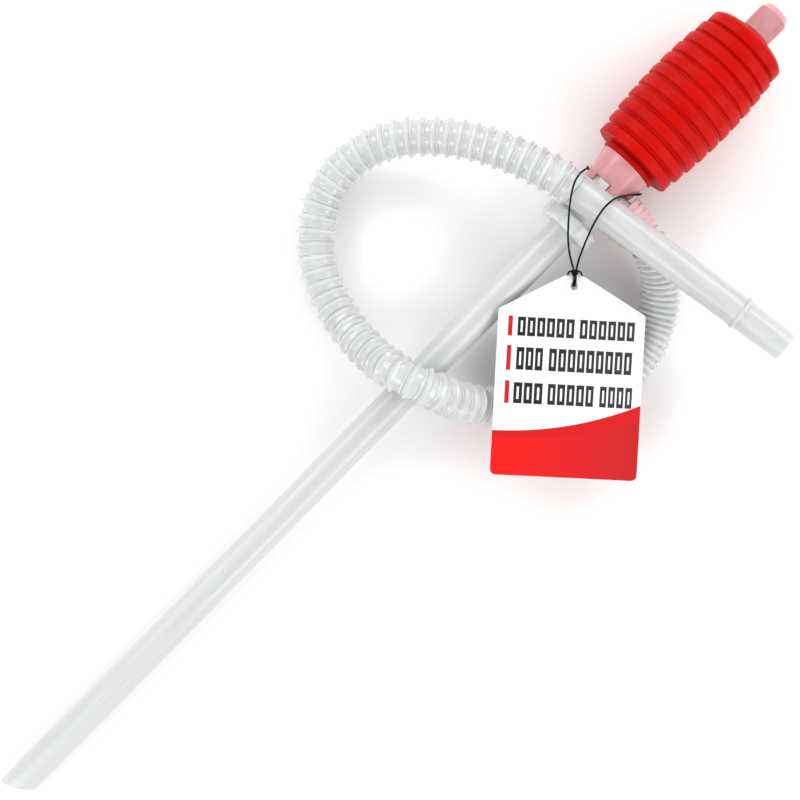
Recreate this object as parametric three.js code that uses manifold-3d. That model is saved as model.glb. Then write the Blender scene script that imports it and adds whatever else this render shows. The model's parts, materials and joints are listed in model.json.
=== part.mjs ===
// A hand siphon pump, lying as it is put down: a rigid suction tube, a valve body with two check
// valves, a ribbed squeeze bulb with a screw vent cap, and a corrugated discharge hose that ends in a
// straight spout. A card tag hangs on the valve body by a thin string.
//
// Units are millimetres, +Z is up and the pump lies on Z = 0. The origin is under the middle of the
// pump, without its hose and tag. +X runs along the pump to the vent cap, and the outlet faces -Y.
import * as THREE from "three";
import { mergeVertices } from "three/addons/utils/BufferGeometryUtils.js";
import Module from "manifold-3d";

const wasm = await Module();
wasm.setup();

// Clearances
const fit = 0.3; // between pieces that touch
const slideFit = 0.35; // round a piece that slides or turns

// Suction tube
const tubeRadius = 10;
const tubeWall = 1.2;
const tubeReach = 496; // from the tip to the collar
const tubeSeat = 22; // the length held inside the collar and the valve body
const mitreDrop = 11.6; // how much shorter the slanted tip is on its short side

// Collar, a nut that clamps the suction tube
const collarWall = 5.45;
const collarHeight = 10;
const collarFloor = 2.6;
const collarGrips = 10;
const gripRadius = 2.2;
const sealHeight = 2.2;

// Valve body
const bodyHeight = 23.4; // from the collar to the seam with the bulb cup
const spigotWall = 2.9; // round the suction tube, inside the collar
const spigotLength = 4.8;
const chamberStep = 1.9; // how much wider the valve chamber is than the tube
const shelfHeight = 2;
const shelfWidth = 3.9;
const plugWall = 1.2; // the short tube that plugs into the bulb cup
const plugHeight = 5.6;
const skirtWall = 1.9; // round the plug, down at the seam
const lugCount = 3;
const lugWidth = 7.4;
const lugHeight = 4.6;
const lugTurn = 10; // degrees from straight up to the first lug, towards +Y

// Outlet port and hose cuff
const portRadius = 10;
const portWall = 2.5;
const portBelowSeam = 2; // the port's axis below the seam
const portPastSeat = 15; // from the outlet valve's seat to the port's mouth
const cuffWall = 5.1;
const cuffGap = 3.3; // between the body and the cuff
const cuffPast = 8.8; // how far the cuff stands past the port's mouth
const cuffTaper = 3.6;
const cuffBoreStep = 0.5; // how much wider its bore is than the port's

// Check valves: a seat, a disc on a stem, and a guide for the stem
const valveLift = 3;
const seatHeight = 2;
const discHeight = 1.5;
const guideHeight = 2;
const guideSpokes = 3;
const spokeWidth = 1.8;
const inletDiscRoom = 2.9; // round the inlet disc, in the chamber
const inletSeatLap = 2.5; // how far the disc covers its seat
const inletStemRadius = 1.5;
const outletDiscRoom = 1.5;
const outletSeatLap = 1.6;
const outletStemRadius = 1.1;
const outletSeatPast = 3.1; // from the chamber's wall to the outlet seat
const stemPast = 2.5; // how far a stem stands past its guide
const hubWall = 1.5;

// Bulb cup
const cupHeight = 21.7;
const cupSkirt = 4; // the straight foot of the cup, below its cone
const cupFlare = 3.1; // how much wider its rim is than its foot
const cupWall = 1.5;
const cupFloorHeight = 2;
const cupFloorBore = 9;
const cupTwist = (14 * Math.PI) / 180; // how far it turns on the lugs
const neckSealHeight = 1.4;

// Bulb
const bulbRadius = 31.6; // at the crest of the middle rib
const bulbTaper = 3.9; // how much smaller the end ribs are
const bulbRibs = 11;
const ribPitch = 9.5;
const ribLand = 5.2; // the flat width of a rib
const ribSlope = 1.1; // the width of a rib's shoulder
const ribDepth = 1.9;
const bulbWall = 1.6;
const bulbCollarStep = 1.1; // how far it stands out over the cup's rim
const bulbCollarHeight = 4;
const bulbWaistStep = 0.6;
const bulbWaistHeight = 1.2;
const crownHeight = 6.2;
const crownLand = 5.4; // from the nozzle to the crown's edge

// Vent nozzle and cap
const nozzleRadius = 7.6;
const nozzleThread = 0.55;
const nozzleThreads = 3;
const threadPitch = 2.5;
const nozzleHeight = 17;
const nozzleNose = 3.6; // the height of its conical top
const nozzleNoseStep = 3.6;
const nozzleTail = 7;
const nozzleFlange = 3.4;
const nozzleFlangeHeight = 1.4;
const ventBore = 1.6;
const capWall = 1.7;
const capHeight = 19.8;
const capChamfer = 2;
const capChamferHeight = 3.6;
const capRibs = 36;
const capRibDepth = 0.35;
const ventSealHeight = 1.6;
const capLift = 0.8; // between the bulb's crown and the cap

// Discharge hose and spout
const hoseRadius = 12.9;
const hoseSteps = 56;
const hoseSides = 12;
const spoutRadius = 10.2;
const spoutWall = 1.2;
const ringRadius = 11.4;
const ringWidth = 2.2;
const spoutLength = 159.5;
const spoutTip = 33; // from the ring to the end
const tipRadius = 9.5;

// Tag
const tagWidth = 92;
const tagHeight = 125.5;
const tagShoulder = 103; // where the slanted top begins
const tagPeakWidth = 12;
const tagCorner = 4;
const tagThickness = 0.6;
const tagHoleRadius = 3.2;
const tagHoleInset = 6.5;
const eyeletWidth = 1.8;
const eyeletProud = 0.5;
const stringRadius = 0.6;
const stringSteps = 64;
const stringSides = 8;
const knotRadius = 1.2;
const knotLength = 0.8; // between the centres of its round ends

const round = 32; // sides of a round piece
const smallRound = 24;
const quarterTurn = Math.PI / 2;

// ---- Building blocks ----

// A closed body turned about +Z from [radius, height] points, listed anticlockwise.
function turned(profile, sides = round) {
  const points = profile.map(([r, z]) => new THREE.Vector2(r, z));
  return new THREE.LatheGeometry(points, sides).rotateX(quarterTurn);
}

// A ring or tube: a closed profile from its inner to its outer radius.
function ring(inner, outer, low, high, sides = round) {
  const corners = [[inner, low], [outer, low], [outer, high], [inner, high], [inner, low]];
  return turned(corners, sides);
}

function disc(radius, low, high, sides = round) {
  return turned([[0, low], [radius, low], [radius, high], [0, high]], sides);
}

function block(width, depth, low, high) {
  return new THREE.BoxGeometry(width, depth, high - low).translate(0, 0, (low + high) / 2);
}

function toSolid(geometry) {
  const bare = geometry.clone();
  bare.deleteAttribute("normal");
  bare.deleteAttribute("uv");
  const merged = mergeVertices(bare, 1e-3);
  const vertProperties = merged.attributes.position.array;
  const triVerts = new Uint32Array(merged.index.array);
  return new wasm.Manifold(new wasm.Mesh({ numProp: 3, vertProperties, triVerts }));
}

function toGeometry(solid) {
  const { vertProperties, triVerts } = solid.getMesh();
  const geometry = new THREE.BufferGeometry();
  geometry.setAttribute("position", new THREE.BufferAttribute(vertProperties, 3));
  geometry.setIndex(new THREE.BufferAttribute(triVerts, 1));
  geometry.computeVertexNormals();
  return geometry;
}

// Adds some shapes, then cuts others away.
function carve(added, cut) {
  const whole = added.map(toSolid).reduce((a, b) => a.add(b));
  return toGeometry(cut.map(toSolid).reduce((a, b) => a.subtract(b), whole));
}

function piece(parent, name, geometry, look) {
  const mesh = new THREE.Mesh(geometry, new THREE.MeshStandardMaterial(look));
  mesh.name = name;
  parent.add(mesh);
  return mesh;
}

// ---- Materials ----

const clearPlastic = { color: 0xdfe2e3, roughness: 0.3, metalness: 0 };
const tintedPlastic = { color: 0xd98a8f, roughness: 0.3, metalness: 0 };
const redPlastic = { color: 0xcf1408, roughness: 0.35, metalness: 0 };
const valvePlastic = { color: 0xf2f2ee, roughness: 0.4, metalness: 0 };
const sealRubber = { color: 0xe0dcd6, roughness: 0.6, metalness: 0 };
const card = { color: 0xf7f7f7, roughness: 0.5, metalness: 0 };
const blackString = { color: 0x111111, roughness: 0.9, metalness: 0 };

// ---- Heights along the pump's axis, from the tip of the suction tube ----

const collarTop = tubeReach + collarHeight;
const bodyFoot = collarTop + fit;
const spigotFoot = bodyFoot - spigotLength;
const tubeEnd = tubeReach + tubeSeat;
const shelfFoot = tubeEnd + fit;
const chamberFoot = shelfFoot + shelfHeight;
const seam = bodyFoot + bodyHeight;
const portHeight = seam - portBelowSeam;
const plugTop = seam + plugHeight;
const cupFoot = seam + fit;
const cupTop = cupFoot + cupHeight;
const portRoomTop = portHeight + (portRadius + fit) / Math.cos(cupTwist);
const cupFloor = Math.max(plugTop + fit, portRoomTop);
const neckSealFoot = cupFloor + cupFloorHeight + fit;
const neckFoot = neckSealFoot + neckSealHeight + fit;
const bulbCollarFoot = cupTop + fit;
const bulbCollarTop = bulbCollarFoot + bulbCollarHeight;
const firstRib = bulbCollarTop + bulbWaistHeight + ribSlope + ribLand / 2;
const lastRib = firstRib + ribPitch * (bulbRibs - 1);
const crownFoot = lastRib + ribLand / 2;
const crownTop = crownFoot + crownHeight;
const capFoot = crownTop + capLift;
const nozzleTop = crownTop + nozzleHeight;
const ventSealFoot = nozzleTop + fit;
const ventSealTop = ventSealFoot + ventSealHeight;
const capCeiling = ventSealTop + fit;

// ---- Sizes across ----

const tubeBore = tubeRadius + fit;
const spigotRadius = tubeBore + spigotWall;
const collarRadius = spigotRadius + slideFit + collarWall;
const chamberRadius = tubeRadius + chamberStep;
const shelfBore = chamberRadius - shelfWidth;
const plugRadius = chamberRadius + plugWall;
const skirtBore = plugRadius + fit;
const bodyRadius = skirtBore + skirtWall;
const inletDiscRadius = chamberRadius - inletDiscRoom;
const inletSeatBore = inletDiscRadius - inletSeatLap;

const portBore = portRadius - portWall;
const outletSeatStart = chamberRadius + outletSeatPast;
const portReach = outletSeatStart + portPastSeat;
const outletDiscRadius = portBore - outletDiscRoom;
const outletSeatBore = outletDiscRadius - outletSeatLap;
const cuffRadius = portRadius + fit + cuffWall;
const cuffStart = bodyRadius + cuffGap;
const cuffEnd = portReach + cuffPast;
const cuffBore = portBore + cuffBoreStep;

const cupRimRadius = bodyRadius + cupFlare;
const bulbCollarRadius = cupRimRadius + bulbCollarStep;
const bulbWaistRadius = cupRimRadius - bulbWaistStep;
const nozzleHole = nozzleRadius + fit;
const nozzleFlangeRadius = nozzleRadius + nozzleFlange;
const nozzleNoseRadius = nozzleRadius - nozzleNoseStep;
const crownRadius = nozzleRadius + crownLand;
const capBore = nozzleRadius + nozzleThread + slideFit;
const capRadius = capBore + capWall;

// The cup's outer radius on its cone.
function cupRadiusAt(height) {
  const share = (height - cupFoot - cupSkirt) / (cupHeight - cupSkirt);
  return bodyRadius + (cupRimRadius - bodyRadius) * Math.max(0, share);
}

// ---- Pieces round the pump's axis ----

// The tip is cut on a slant, so its ring of points is pushed up on the short side.
function suctionTube() {
  const geometry = ring(tubeRadius - tubeWall, tubeRadius, 0, tubeEnd);
  const at = geometry.attributes.position;
  for (let i = 0; i < at.count; i++) {
    if (at.getZ(i) > 1) continue;
    at.setZ(i, (mitreDrop * (tubeRadius - at.getY(i))) / (2 * tubeRadius));
  }
  return geometry;
}

function tubeCollar() {
  const edge = 1.2;
  const cup = spigotRadius + slideFit;
  const floorTop = tubeReach + collarFloor;
  const body = turned([
    [tubeBore, tubeReach],
    [collarRadius - edge, tubeReach],
    [collarRadius, tubeReach + edge],
    [collarRadius, collarTop - edge],
    [collarRadius - edge, collarTop],
    [cup, collarTop],
    [cup, floorTop],
    [tubeBore, floorTop],
    [tubeBore, tubeReach],
  ]);
  const grips = [];
  for (let i = 0; i < collarGrips; i++) {
    const angle = ((i + 0.5) * 2 * Math.PI) / collarGrips;
    const grip = disc(gripRadius, tubeReach - 1, collarTop + 1, 12);
    const reach = collarRadius + gripRadius * 0.55;
    grips.push(grip.translate(reach * Math.cos(angle), reach * Math.sin(angle), 0));
  }
  return carve([body], grips);
}

function tubeSeal() {
  const low = tubeReach + collarFloor + fit;
  const bulge = 0.4;
  return turned([
    [tubeBore, low],
    [spigotRadius - bulge, low],
    [spigotRadius, low + bulge],
    [spigotRadius, low + sealHeight - bulge],
    [spigotRadius - bulge, low + sealHeight],
    [tubeBore, low + sealHeight],
    [tubeBore, low],
  ]);
}

// A cylinder that runs out along -Y at the port's height, from one reach to another.
function alongPort(geometry) {
  return geometry.rotateX(quarterTurn).translate(0, 0, portHeight);
}

// The middle of a lug, as an angle about the pump's axis.
function lugAngle(lug) {
  return Math.PI - (lugTurn * Math.PI) / 180 + (lug * 2 * Math.PI) / lugCount;
}

function lugs() {
  const inner = plugRadius - 0.5;
  const outer = bodyRadius - 0.15;
  const blocks = [];
  for (let i = 0; i < lugCount; i++) {
    const lug = block(outer - inner, lugWidth, seam - 1, seam + lugHeight);
    blocks.push(lug.translate((inner + outer) / 2, 0, 0).rotateZ(lugAngle(i)));
  }
  return blocks;
}

// The room a lug needs in the cup's skirt, from its resting place to the end of the twist.
function lugSlots() {
  const past = 2;
  const halfWidth = Math.asin((lugWidth / 2 + fit) / plugRadius);
  const depth = lugHeight + fit + past;
  const slots = [];
  for (let i = 0; i < lugCount; i++) {
    const from = lugAngle(i) - halfWidth - cupTwist;
    const to = lugAngle(i) + halfWidth;
    const sector = new THREE.Shape();
    sector.absarc(0, 0, bodyRadius + past, from, to, false);
    sector.absarc(0, 0, plugRadius - past, to, from, true);
    const slot = new THREE.ExtrudeGeometry(sector, { depth, bevelEnabled: false, curveSegments: 6 });
    slots.push(slot.translate(0, 0, seam - past));
  }
  return slots;
}

// The room the outlet port needs in the cup's skirt, as wide as the twist sweeps it.
function portSlot() {
  const radius = (portRadius + fit) / Math.cos(cupTwist);
  const sweep = bodyRadius * Math.tan(cupTwist);
  const slot = new THREE.Shape();
  slot.absarc(0, 0, radius, quarterTurn, 3 * quarterTurn, false);
  slot.absarc(sweep, 0, radius, -quarterTurn, quarterTurn, false);
  const extrude = { depth: portReach, bevelEnabled: false, curveSegments: 8 };
  return alongPort(new THREE.ExtrudeGeometry(slot, extrude).rotateZ(Math.PI));
}

function valveBody() {
  const shell = turned([
    [tubeBore, spigotFoot],
    [spigotRadius, spigotFoot],
    [spigotRadius, bodyFoot],
    [bodyRadius, bodyFoot],
    [bodyRadius, seam],
    [plugRadius, seam],
    [plugRadius, plugTop],
    [chamberRadius, plugTop],
    [chamberRadius, chamberFoot],
    [shelfBore, chamberFoot],
    [shelfBore, shelfFoot],
    [tubeBore, shelfFoot],
    [tubeBore, spigotFoot],
  ]);
  const port = alongPort(disc(portRadius, chamberRadius, portReach));
  const bore = alongPort(disc(portBore, 0, portReach + 1));
  const chamber = disc(chamberRadius, chamberFoot, portHeight + portRadius + 1);
  return carve([shell, port, ...lugs()], [chamber, bore]);
}

// A valve's moving piece, a disc with a stem, standing on its seat along +Z.
function valveDisc(radius, stemRadius, low) {
  const stemTop = low + discHeight + valveLift + fit + guideHeight + stemPast;
  return turned([
    [0, low],
    [radius, low],
    [radius, low + discHeight],
    [stemRadius, low + discHeight],
    [stemRadius, stemTop],
    [0, stemTop],
  ], smallRound);
}

// The valve's guide: a rim, a hub for the stem, and spokes between them.
function valveGuide(rimOuter, rimInner, stemRadius, low) {
  const high = low + guideHeight;
  const hub = ring(stemRadius + slideFit, stemRadius + slideFit + hubWall, low, high, smallRound);
  const rim = ring(rimInner, rimOuter, low, high, smallRound);
  const spokes = [];
  for (let i = 0; i < guideSpokes; i++) {
    const from = stemRadius + slideFit + hubWall / 2;
    const to = (rimInner + rimOuter) / 2;
    const spoke = block(to - from, spokeWidth, low, high).translate((from + to) / 2, 0, 0);
    spokes.push(spoke.rotateZ(quarterTurn + (i * 2 * Math.PI) / guideSpokes));
  }
  return carve([rim, hub, ...spokes], []);
}

function bulbCup() {
  const seat = neckFoot - fit;
  const shell = turned([
    [skirtBore, cupFoot],
    [bodyRadius, cupFoot],
    [bodyRadius, cupFoot + cupSkirt],
    [cupRimRadius, cupTop],
    [cupRimRadius - cupWall, cupTop],
    [cupRadiusAt(seat) - cupWall, seat],
    [cupRadiusAt(neckSealFoot) - cupWall, cupFloor + cupFloorHeight],
    [cupFloorBore, cupFloor + cupFloorHeight],
    [cupFloorBore, cupFloor],
    [skirtBore, cupFloor],
    [skirtBore, cupFoot],
  ]);
  return carve([shell], [...lugSlots(), portSlot()]);
}

function neckSeal() {
  const outer = cupRadiusAt(neckSealFoot) - cupWall - fit;
  return ring(cupFloorBore + 1, outer, neckSealFoot, neckSealFoot + neckSealHeight);
}

// The crest radius of a rib, which swells towards the middle of the bulb.
function crestRadius(rib) {
  const middle = (bulbRibs - 1) / 2;
  return bulbRadius - bulbTaper * ((rib - middle) / middle) ** 2;
}

function bulb() {
  const neckFootRadius = cupRadiusAt(neckFoot) - cupWall - fit;
  const neckTopRadius = cupRimRadius - cupWall - fit;
  const outer = [
    [neckFootRadius, neckFoot],
    [neckTopRadius, bulbCollarFoot],
    [bulbCollarRadius - 0.6, bulbCollarFoot],
    [bulbCollarRadius, bulbCollarFoot + 0.8],
    [bulbCollarRadius, bulbCollarTop - 0.6],
    [bulbWaistRadius, bulbCollarTop],
    [bulbWaistRadius, bulbCollarTop + bulbWaistHeight],
  ];
  for (let rib = 0; rib < bulbRibs; rib++) {
    const crest = crestRadius(rib);
    const middle = firstRib + rib * ribPitch;
    if (rib > 0) outer.push([crest - ribDepth, middle - ribLand / 2 - ribSlope]);
    outer.push([crest - 0.3, middle - ribLand / 2]);
    outer.push([crest, middle]);
    outer.push([crest - 0.3, middle + ribLand / 2]);
    if (rib < bulbRibs - 1) outer.push([crest - ribDepth, middle + ribLand / 2 + ribSlope]);
  }
  const last = crestRadius(bulbRibs - 1);
  outer.push([last - 3.5, crownFoot + crownHeight * 0.42]);
  outer.push([crownRadius, crownTop]);
  const inner = [
    [nozzleHole, crownTop],
    [nozzleHole, crownTop - bulbWall],
    [last - 5, crownFoot + crownHeight * 0.42 - bulbWall],
  ];
  for (let rib = bulbRibs - 1; rib >= 0; rib -= 2) {
    inner.push([crestRadius(rib) - ribDepth - bulbWall, firstRib + rib * ribPitch]);
  }
  inner.push([bulbWaistRadius - bulbWall, bulbCollarTop + bulbWaistHeight]);
  inner.push([neckTopRadius - bulbWall, bulbCollarFoot]);
  inner.push([neckFootRadius - bulbWall, neckFoot]);
  return turned([...outer, ...inner, outer[0]]);
}

function ventNozzle() {
  const tailFoot = crownTop - nozzleTail;
  const flangeTop = crownTop - bulbWall - 3 * fit;
  const spoutFoot = crownTop + capLift;
  const outer = [
    [ventBore, tailFoot],
    [nozzleRadius - 1, tailFoot],
    [nozzleRadius - 1, flangeTop - nozzleFlangeHeight],
    [nozzleFlangeRadius, flangeTop - nozzleFlangeHeight],
    [nozzleFlangeRadius, flangeTop],
    [nozzleRadius, flangeTop],
  ];
  for (let i = 0; i < nozzleThreads; i++) {
    const low = spoutFoot + threadPitch * (i + 1);
    outer.push([nozzleRadius, low]);
    outer.push([nozzleRadius + nozzleThread, low + threadPitch * 0.3]);
    outer.push([nozzleRadius, low + threadPitch * 0.6]);
  }
  outer.push([nozzleRadius, nozzleTop - nozzleNose]);
  outer.push([nozzleNoseRadius, nozzleTop]);
  outer.push([ventBore, nozzleTop]);
  return turned([...outer, outer[0]], smallRound);
}

// A cap with fine grip ribs. Its ribbed wall is an extruded outline, and its top is chamfered.
function ventCap() {
  const top = capFoot + capHeight;
  const outline = new THREE.Shape();
  for (let i = 0; i < capRibs * 2; i++) {
    const angle = (i * Math.PI) / capRibs;
    const reach = capRadius - (i % 2) * capRibDepth;
    const corner = [reach * Math.cos(angle), reach * Math.sin(angle)];
    if (i === 0) outline.moveTo(...corner);
    else outline.lineTo(...corner);
  }
  outline.closePath();
  const wallTop = top - capChamferHeight;
  const extrude = { depth: wallTop - capFoot, bevelEnabled: false };
  const wall = new THREE.ExtrudeGeometry(outline, extrude).translate(0, 0, capFoot);
  const shoulder = capRadius - capRibDepth;
  const dome = turned([
    [0, wallTop - 0.5],
    [shoulder, wallTop - 0.5],
    [shoulder, wallTop],
    [capRadius - capChamfer, top],
    [0, top],
  ]);
  const room = disc(capBore, capFoot - 1, capCeiling, smallRound);
  return carve([wall, dome], [room]);
}

function ventSeal() {
  const outer = nozzleRadius + nozzleThread;
  return disc(outer, ventSealFoot, ventSealTop, smallRound);
}

function hoseCuff() {
  const bore = portRadius + fit;
  const seat = portReach + fit;
  return alongPort(turned([
    [bore, cuffStart],
    [cuffRadius - 0.8, cuffStart],
    [cuffRadius, cuffStart + 0.8],
    [cuffRadius, cuffEnd - cuffTaper],
    [hoseRadius, cuffEnd],
    [cuffBore, cuffEnd],
    [cuffBore, seat],
    [bore, seat],
    [bore, cuffStart],
  ]));
}

// ---- The pump, laid down ----

// Lying on a flat surface, the pump rests on the tip of its tube and on one rib of its bulb.
function restTilt() {
  let tilt = 0;
  for (let rib = 0; rib < bulbRibs; rib++) {
    const rise = crestRadius(rib) - tubeRadius;
    const run = firstRib + rib * ribPitch - mitreDrop / 2;
    tilt = Math.max(tilt, Math.atan2(rise, run));
  }
  return tilt;
}

const model = new THREE.Group();
const pump = new THREE.Group();
model.add(pump);
pump.rotation.y = quarterTurn - restTilt();

piece(pump, "suction_tube", suctionTube(), clearPlastic);
piece(pump, "tube_collar", tubeCollar(), clearPlastic);
piece(pump, "tube_seal", tubeSeal(), sealRubber);
piece(pump, "valve_body", valveBody(), clearPlastic);

const inletSeatFoot = chamberFoot + fit;
const inletDiscFoot = inletSeatFoot + seatHeight + fit;
const inletGuideFoot = inletDiscFoot + discHeight + valveLift + fit;
const inletRim = chamberRadius - fit;
const inletSeat = ring(inletSeatBore, inletRim, inletSeatFoot, inletSeatFoot + seatHeight);
const inletDisc = valveDisc(inletDiscRadius, inletStemRadius, inletDiscFoot);
const inletGuide = valveGuide(inletRim, inletRim - 1.4, inletStemRadius, inletGuideFoot);
piece(pump, "inlet_valve_seat", inletSeat, valvePlastic);
piece(pump, "inlet_valve_disc", inletDisc, valvePlastic);
piece(pump, "inlet_valve_guide", inletGuide, valvePlastic);

const outletDiscStart = outletSeatStart + seatHeight + fit;
const outletGuideStart = outletDiscStart + discHeight + valveLift + fit;
const outletRim = portBore - fit;
const outletSeatEnd = outletSeatStart + seatHeight;
const outletSeat = ring(outletSeatBore, outletRim, outletSeatStart, outletSeatEnd, smallRound);
const outletDisc = valveDisc(outletDiscRadius, outletStemRadius, outletDiscStart);
const outletGuide = valveGuide(outletRim, outletRim - 1, outletStemRadius, outletGuideStart);
piece(pump, "outlet_valve_seat", alongPort(outletSeat), valvePlastic);
piece(pump, "outlet_valve_disc", alongPort(outletDisc), valvePlastic);
piece(pump, "outlet_valve_guide", alongPort(outletGuide), valvePlastic);

piece(pump, "hose_cuff", hoseCuff(), clearPlastic);
piece(pump, "bulb_cup", bulbCup(), tintedPlastic);
piece(pump, "neck_seal", neckSeal(), sealRubber);
piece(pump, "squeeze_bulb", bulb(), redPlastic);
piece(pump, "vent_nozzle", ventNozzle(), redPlastic);
piece(pump, "vent_seal", ventSeal(), sealRubber);
piece(pump, "vent_cap", ventCap(), tintedPlastic);

// The origin goes under the middle of the pump.
const box = new THREE.Box3().setFromObject(pump, true);
const middle = box.getCenter(new THREE.Vector3());
pump.position.set(-middle.x, -middle.y, -box.min.z);
pump.updateMatrixWorld(true);

// ---- The discharge hose and its spout ----

// A round cord through a list of points.
function cordAlong(points, radius, steps, sides) {
  const section = new THREE.Shape();
  for (let i = 0; i < sides; i++) {
    const angle = (i * 2 * Math.PI) / sides;
    const corner = [radius * Math.cos(angle), radius * Math.sin(angle)];
    if (i === 0) section.moveTo(...corner);
    else section.lineTo(...corner);
  }
  section.closePath();
  const vectors = points.map((point) => new THREE.Vector3(...point));
  const extrudePath = new THREE.CatmullRomCurve3(vectors, false, "centripetal");
  return new THREE.ExtrudeGeometry(section, { steps, extrudePath, bevelEnabled: false });
}

// The spout lies level across the valve body and the cuff, held there by the tag's string.
const spoutStart = [172.5, 15.7, 55];
const spoutTurn = (7.7 * Math.PI) / 180; // from -Y towards +X
const spoutWay = [Math.sin(spoutTurn), -Math.cos(spoutTurn)];

function spoutPoint(reach) {
  const [x, y, z] = spoutStart;
  return [x + spoutWay[0] * reach, y + spoutWay[1] * reach, z];
}

function dischargeSpout() {
  const ringFoot = spoutLength - spoutTip - ringWidth;
  const ringTop = spoutLength - spoutTip;
  const bore = spoutRadius - spoutWall;
  const tipBore = tipRadius - spoutWall;
  return turned([
    [bore, 0],
    [spoutRadius, 0],
    [spoutRadius, ringFoot],
    [ringRadius, ringFoot + ringWidth * 0.3],
    [ringRadius, ringFoot + ringWidth * 0.7],
    [spoutRadius, ringTop],
    [tipRadius, ringTop + 1],
    [tipRadius, spoutLength],
    [tipBore, spoutLength],
    [tipBore, ringTop],
    [bore, ringFoot],
    [bore, 0],
  ]).rotateX(quarterTurn);
}

// From the cuff the hose drops to the floor, climbs over the suction tube, runs round in a wide loop
// and rises to the spout.
const outlet = pump.localToWorld(new THREE.Vector3(0, -cuffEnd - fit, portHeight));
const hoseRoute = [
  outlet.toArray(),
  [outlet.x, outlet.y - 6, outlet.z],
  [180, -54, 24.5],
  [174.5, -63, 20],
  [166, -71.5, 16],
  [155, -79, 13.5],
  [140, -85.5, 13],
  [121, -88, 13],
  [99, -83, 13],
  [76.5, -71, 13],
  [57, -56, 13.8],
  [45.5, -44, 17],
  [37, -33, 23.5],
  [30, -21.5, 33],
  [25.5, -10.5, 42],
  [22, -1.5, 46],
  [19.5, 6, 46.8],
  [17, 15, 45],
  [15, 25.5, 38],
  [14.5, 38, 30],
  [15, 51, 23],
  [17, 64, 17.5],
  [20.5, 76.5, 14.2],
  [25.5, 88.5, 13],
  [32, 100, 13],
  [40.5, 110, 13],
  [50.5, 118.5, 13.5],
  [61.5, 125, 14.5],
  [73, 128.5, 16.5],
  [85, 129.8, 19],
  [96.5, 128.5, 22],
  [107.5, 125, 25],
  [118, 119.3, 28],
  [127.5, 112, 31],
  [136, 103.3, 34],
  [143.8, 93.6, 37],
  [150.5, 83.2, 40],
  [156.4, 72.2, 43],
  [161.2, 61, 46],
  [165.2, 49.5, 49],
  [168.5, 38, 52],
  spoutPoint(-11),
  spoutPoint(-fit),
];
piece(model, "discharge_hose", cordAlong(hoseRoute, hoseRadius, hoseSteps, hoseSides), clearPlastic);

const spout = piece(model, "discharge_spout", dischargeSpout(), clearPlastic);
spout.position.set(...spoutStart);
spout.rotation.z = spoutTurn;

// ---- The tag ----

// The card lies on the suction tube and the hose, with its hole at this group's origin, +X along
// its top edge and +Z through its face.
const tag = new THREE.Group();
model.add(tag);
tag.position.set(132.1, -25.5, 35.2);
tag.rotation.set((2.3 * Math.PI) / 180, (3.7 * Math.PI) / 180, (-48.4 * Math.PI) / 180, "ZYX");
tag.updateMatrixWorld(true);

function hangTag() {
  const top = tagHoleInset;
  const foot = top - tagHeight;
  const shoulder = foot + tagShoulder;
  const side = tagWidth / 2;
  const outline = new THREE.Shape();
  outline.moveTo(-side + tagCorner, foot);
  outline.lineTo(side - tagCorner, foot);
  outline.quadraticCurveTo(side, foot, side, foot + tagCorner);
  outline.lineTo(side, shoulder);
  outline.lineTo(tagPeakWidth / 2, top);
  outline.lineTo(-tagPeakWidth / 2, top);
  outline.lineTo(-side, shoulder);
  outline.lineTo(-side, foot + tagCorner);
  outline.quadraticCurveTo(-side, foot, -side + tagCorner, foot);
  const hole = new THREE.Path();
  hole.absarc(0, 0, tagHoleRadius, 0, 2 * Math.PI, true);
  outline.holes.push(hole);
  const extrude = { depth: tagThickness, bevelEnabled: false, curveSegments: 8 };
  return new THREE.ExtrudeGeometry(outline, extrude);
}

function tagEyelet() {
  const bore = tagHoleRadius - fit - 0.5;
  const barrel = tagHoleRadius - fit;
  const rim = tagHoleRadius + eyeletWidth;
  const under = -fit;
  const over = tagThickness + fit;
  return turned([
    [bore, under - eyeletProud],
    [rim, under - eyeletProud],
    [rim, under],
    [barrel, under],
    [barrel, over],
    [rim, over],
    [rim, over + eyeletProud],
    [bore, over + eyeletProud],
    [bore, under - eyeletProud],
  ], smallRound);
}

// The knot sits just past the card's top edge, with a loop of its string through the eyelet.
const knotFoot = tagHoleInset + 0.5;
const knotTop = knotFoot + knotLength + 2 * knotRadius;
const knotHeight = tagThickness / 2;

function tagKnot() {
  const middle = (knotFoot + knotTop) / 2;
  const knot = new THREE.CapsuleGeometry(knotRadius, knotLength, 6, 12);
  const clear = fit + eyeletProud + fit + stringRadius;
  const over = tagThickness + clear;
  const under = -clear;
  const loop = [
    [0.9, middle, knotHeight],
    [0.9, knotFoot, over - 0.4],
    [0.8, knotFoot - 1.6, over + 0.1],
    [0.5, 3, over + 0.1],
    [0, 0.7, over - 0.7],
    [0, 0, knotHeight],
    [0, 0.7, under + 0.7],
    [-0.5, 3, under - 0.1],
    [-0.8, knotFoot - 1.6, under - 0.1],
    [-0.9, knotFoot, under + 0.4],
    [-0.9, middle, knotHeight],
  ];
  const loopSolid = cordAlong(loop, stringRadius, 30, stringSides);
  return carve([knot.translate(0, middle, knotHeight), loopSolid], []);
}

piece(tag, "hang_tag", hangTag(), card);
piece(tag, "tag_eyelet", tagEyelet(), valvePlastic);
piece(tag, "tag_knot", tagKnot(), blackString);

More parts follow.
